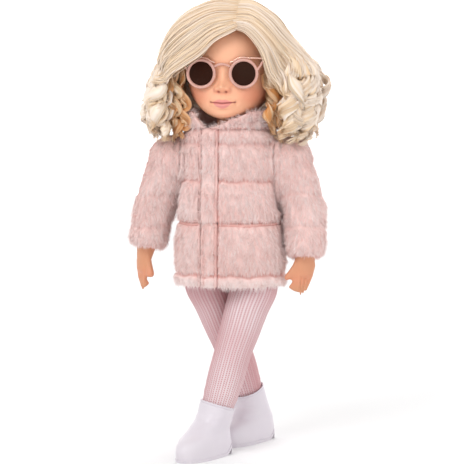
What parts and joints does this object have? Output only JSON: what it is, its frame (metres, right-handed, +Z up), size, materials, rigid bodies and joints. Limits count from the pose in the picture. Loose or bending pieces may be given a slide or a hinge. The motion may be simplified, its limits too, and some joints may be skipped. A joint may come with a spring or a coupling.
{
  "type": "play doll",
  "caption": "Standing play doll with a turning vinyl head, sleeping eyes, swinging arms and legs, curly hair, quilted fleece jacket, tights, ankle boots and removable sunglasses.",
  "frame": {"origin": "on the floor under the middle of the doll's box", "axes": "+Z up, the doll faces -Y and its left hand is on +X"},
  "size_m": [0.2062, 0.1512, 0.4569],
  "materials": {
    "vinyl": "matte",
    "hair": "satin",
    "fleece": "matte",
    "lining": "matte",
    "tights": "matte",
    "cloth": "matte",
    "joint_plastic": "matte",
    "elastic": "matte",
    "boot": "satin",
    "sole": "matte",
    "frame": "gloss",
    "wire": "polished",
    "lens": "gloss",
    "eye": "gloss",
    "weight": "satin"
  },
  "bodies": {
    "torso": {"torso": "cloth", "neck_ring": "joint_plastic", "arm_elastic": "elastic", "shoulder_disc_left": "joint_plastic", "shoulder_disc_right": "joint_plastic", "tights_waist": "tights", "hip_elastic_left": "elastic", "hip_elastic_right": "elastic", "jacket_back": "fleece", "jacket_front_left": "fleece", "jacket_front_right": "fleece", "jacket_placket": "fleece", "skirt_back": "fleece", "skirt_front_left": "fleece", "skirt_front_right": "fleece", "skirt_placket": "fleece", "collar": "fleece", "collar_lining": "lining"},
    "head": {"head": "vinyl", "hair_crown": "hair", "hair_back": "hair", "hair_left": "hair", "hair_right": "hair"},
    "eyes": {"eye_left": "eye", "eye_right": "eye", "eye_bar": "weight", "eye_weight": "weight"},
    "sunglasses": {"sunglasses_frame": "frame", "lens_left": "lens", "lens_right": "lens", "brow_wire_left": "wire", "brow_wire_right": "wire"},
    "arm_left": {"arm_left": "vinyl", "sleeve_left": "fleece"},
    "arm_right": {"arm_right": "vinyl", "sleeve_right": "fleece"},
    "hip_left": {"hip_cup_left": "joint_plastic"},
    "hip_right": {"hip_cup_right": "joint_plastic"},
    "leg_left": {"leg_left": "vinyl", "tights_left": "tights", "boot_left": "boot", "sole_left": "sole", "heel_left": "sole"},
    "leg_right": {"leg_right": "vinyl", "tights_right": "tights", "boot_right": "boot", "sole_right": "sole", "heel_right": "sole"}
  },
  "joints": [
    {"name": "head_turn", "type": "hinge", "parent": "torso", "child": "head", "pos_m": [0.00408, 0.01201, 0.324], "axis": [0, 0, 1], "range_deg": [-50, 50], "deforming": ["collar", "collar_lining"]},
    {"name": "eyes_close", "type": "hinge", "parent": "head", "child": "eyes", "pos_m": [0.00408, -0.01956, 0.3829], "axis": [1, 0, 0], "range_deg": [0, 60]},
    {"name": "sunglasses_pull", "type": "slide", "parent": "head", "child": "sunglasses", "axis": [0, -1, 0], "range_m": [0, 0.07]},
    {"name": "shoulder_left", "type": "hinge", "parent": "torso", "child": "arm_left", "pos_m": [0.06408, 0.00801, 0.2959], "axis": [-1, 0, 0], "range_deg": [-35, 80]},
    {"name": "shoulder_right", "type": "hinge", "parent": "torso", "child": "arm_right", "pos_m": [-0.05592, 0.00801, 0.2959], "axis": [-1, 0, 0], "range_deg": [-35, 80]},
    {"name": "hip_spread_left", "type": "hinge", "parent": "torso", "child": "hip_left", "pos_m": [0.03558, 0.00801, 0.2029], "axis": [0, -1, 0], "range_deg": [0, 25]},
    {"name": "hip_spread_right", "type": "hinge", "parent": "torso", "child": "hip_right", "pos_m": [-0.02742, 0.00801, 0.2029], "axis": [0, 1, 0], "range_deg": [0, 27]},
    {"name": "hip_swing_left", "type": "hinge", "parent": "hip_left", "child": "leg_left", "pos_m": [0.03558, 0.00801, 0.2029], "axis": [-0.9686, 0, 0.2487], "range_deg": [0, 45], "deforming": ["skirt_front_left", "skirt_placket", "hip_elastic_left"]},
    {"name": "hip_swing_right", "type": "hinge", "parent": "hip_right", "child": "leg_right", "pos_m": [-0.02742, 0.00801, 0.2029], "axis": [-0.9641, 0, -0.2656], "range_deg": [-18, 0], "deforming": ["skirt_back", "skirt_front_right", "hip_elastic_right"]}
  ]
}
